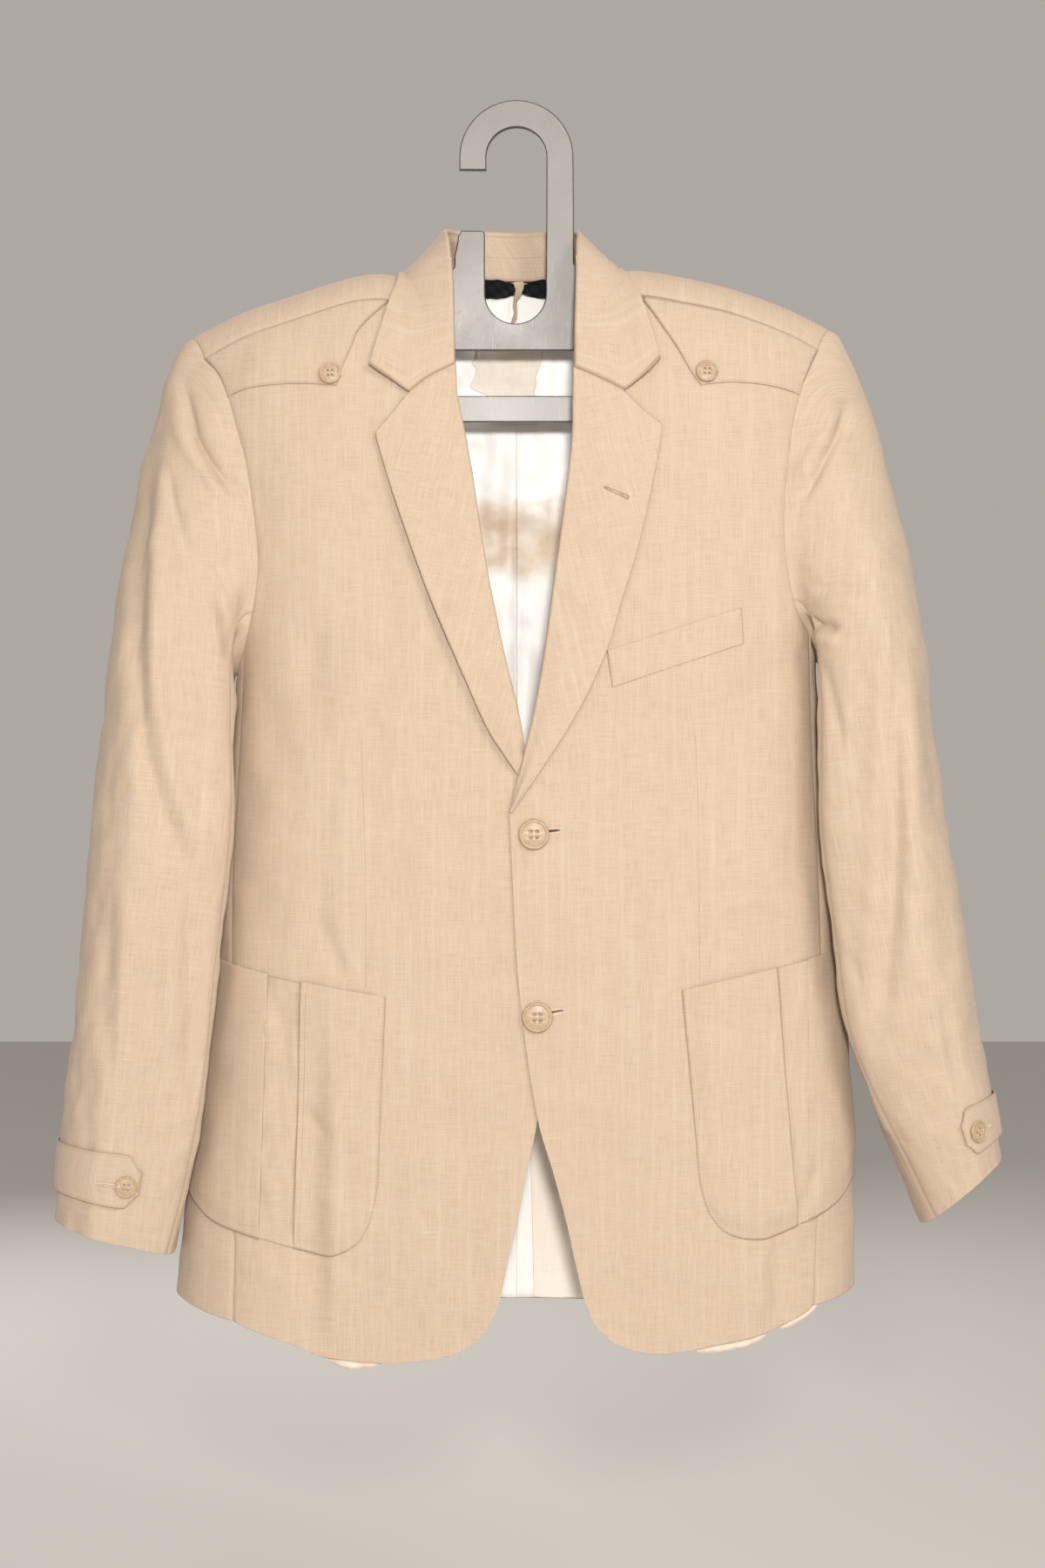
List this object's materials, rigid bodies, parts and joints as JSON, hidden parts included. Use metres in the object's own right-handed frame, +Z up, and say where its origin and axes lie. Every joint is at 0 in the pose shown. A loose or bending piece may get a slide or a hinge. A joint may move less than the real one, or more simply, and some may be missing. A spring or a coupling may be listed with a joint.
{
  "type": "single breasted blazer on hanger",
  "caption": "Unstructured single breasted blazer with notched lapels, patch pockets with a pleat, shoulder patches and cuff tabs, buttoned on a flat plastic hanger.",
  "frame": {"origin": "inner top of the hanger's hook, in the middle of the plate, where the rail carries it", "axes": "+Z up, +Y to the jacket's back, +X to the wearer's left, which is the viewer's right"},
  "size_m": [0.6877, 0.141, 0.9147],
  "materials": {
    "linen": "plain woven linen, matt, slubby, natural beige",
    "satin": "smooth satin lining, cream",
    "facing": "plain woven facing cloth, matt, light beige",
    "label_black": "woven label, black, bare",
    "horn": "horn-like tan, glossy",
    "hanger_grey": "moulded plastic, satin grey, scuffed"
  },
  "bodies": {
    "root": {"front_left": "linen", "front_right": "linen", "side_left": "linen", "side_right": "linen", "back_left": "linen", "back_right": "linen", "collar_fall": "linen", "collar_stand": "linen", "lapel_left": "linen", "lapel_right": "linen", "top_sleeve_left": "linen", "top_sleeve_right": "linen", "under_sleeve_left": "linen", "under_sleeve_right": "linen", "shoulder_patch_left": "linen", "shoulder_patch_right": "linen", "cuff_tab_left": "linen", "cuff_tab_right": "linen", "breast_welt": "linen", "pocket_front_leaf_left": "linen", "pocket_front_leaf_right": "linen", "pocket_side_leaf_left": "linen", "pocket_side_leaf_right": "linen", "pocket_pleat_left": "linen", "pocket_pleat_right": "linen", "back_lining_left": "satin", "back_lining_right": "satin", "front_lining_left": "satin", "front_lining_right": "satin", "vent_facing": "facing", "neck_patch": "facing", "hanger_loop": "facing", "neck_label": "label_black", "front_button_top": "horn", "front_button_bottom": "horn", "shoulder_button_left": "horn", "shoulder_button_right": "horn", "cuff_button_left": "horn", "cuff_button_right": "horn", "hanger": "hanger_grey"}
  },
  "joints": []
}
